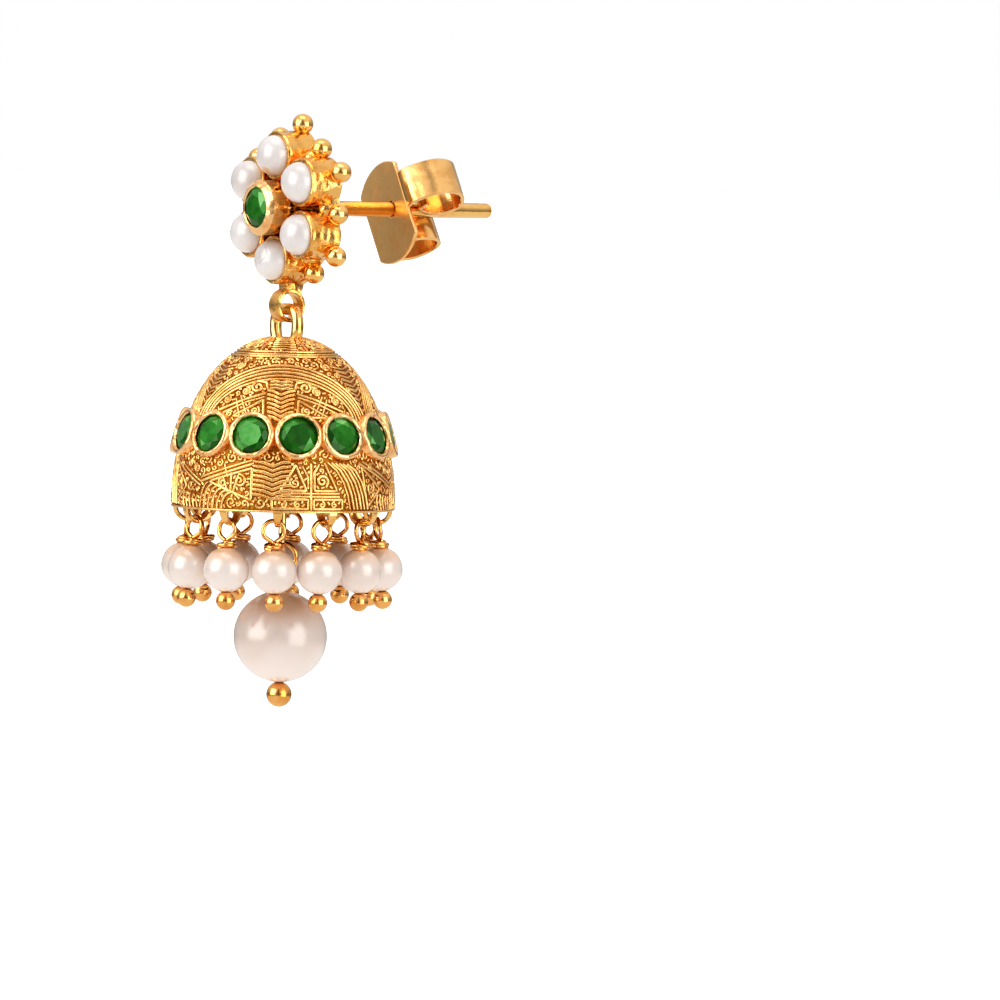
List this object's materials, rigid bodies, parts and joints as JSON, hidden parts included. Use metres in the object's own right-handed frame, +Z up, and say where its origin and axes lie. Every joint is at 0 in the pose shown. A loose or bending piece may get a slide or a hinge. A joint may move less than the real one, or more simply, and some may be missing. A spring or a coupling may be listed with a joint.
{
  "type": "jhumka earring",
  "caption": "Gold jhumka earring: a pearl flower stud with post and scroll clutch, and a hanging domed bell with a band of green stones, pearl drops on its rim and a large centre pearl.",
  "frame": {"origin": "on the post's axis at the flat back of the flower, where the earring pins onto the ear lobe", "axes": "+Z up as the earring hangs, +Y along the post through the lobe, -Y the way the flower faces, +X to the right seen from the front"},
  "size_m": [0.0147, 0.0229, 0.0371],
  "materials": {
    "gold": "polished gold",
    "green_stone": "faceted, polished",
    "pearl": "pearl lustre"
  },
  "bodies": {
    "stud": {"flower_setting": "gold", "flower_stone": "green_stone", "half_pearl_1": "pearl", "half_pearl_2": "pearl", "half_pearl_3": "pearl", "half_pearl_4": "pearl", "half_pearl_5": "pearl", "half_pearl_6": "pearl"},
    "clutch": {"clutch": "gold"},
    "bell": {"bell": "gold", "band_stone_1": "green_stone", "band_stone_2": "green_stone", "band_stone_3": "green_stone", "band_stone_4": "green_stone", "band_stone_5": "green_stone", "band_stone_6": "green_stone", "band_stone_7": "green_stone", "band_stone_8": "green_stone", "band_stone_9": "green_stone", "band_stone_10": "green_stone", "band_stone_11": "green_stone", "band_stone_12": "green_stone", "band_stone_13": "green_stone", "band_stone_14": "green_stone", "rim_pin_1": "gold", "rim_pin_2": "gold", "rim_pin_3": "gold", "rim_pin_4": "gold", "rim_pin_5": "gold", "rim_pin_6": "gold", "rim_pin_7": "gold", "rim_pin_8": "gold", "rim_pin_9": "gold", "rim_pin_10": "gold", "rim_pin_11": "gold", "rim_pin_12": "gold", "rim_pearl_1": "pearl", "rim_pearl_2": "pearl", "rim_pearl_3": "pearl", "rim_pearl_4": "pearl", "rim_pearl_5": "pearl", "rim_pearl_6": "pearl", "rim_pearl_7": "pearl", "rim_pearl_8": "pearl", "rim_pearl_9": "pearl", "rim_pearl_10": "pearl", "rim_pearl_11": "pearl", "rim_pearl_12": "pearl"},
    "centre_drop": {"main_link": "gold", "main_pin": "gold", "main_pearl": "pearl"}
  },
  "joints": [
    {"name": "clutch_slide", "type": "slide", "parent": "stud", "child": "clutch", "axis": [0, 1, 0], "range_m": [-0.0062, 0.0085]},
    {"name": "bell_swing", "type": "hinge", "parent": "stud", "child": "bell", "pos_m": [0, -0.00112, -0.00646], "axis": [1, 0, 0], "range_deg": [-30, 30]},
    {"name": "centre_drop_swing", "type": "hinge", "parent": "bell", "child": "centre_drop", "pos_m": [0, -0.00112, -0.02095], "axis": [0.6293, 0.7771, 0], "range_deg": [-22, 22]}
  ]
}
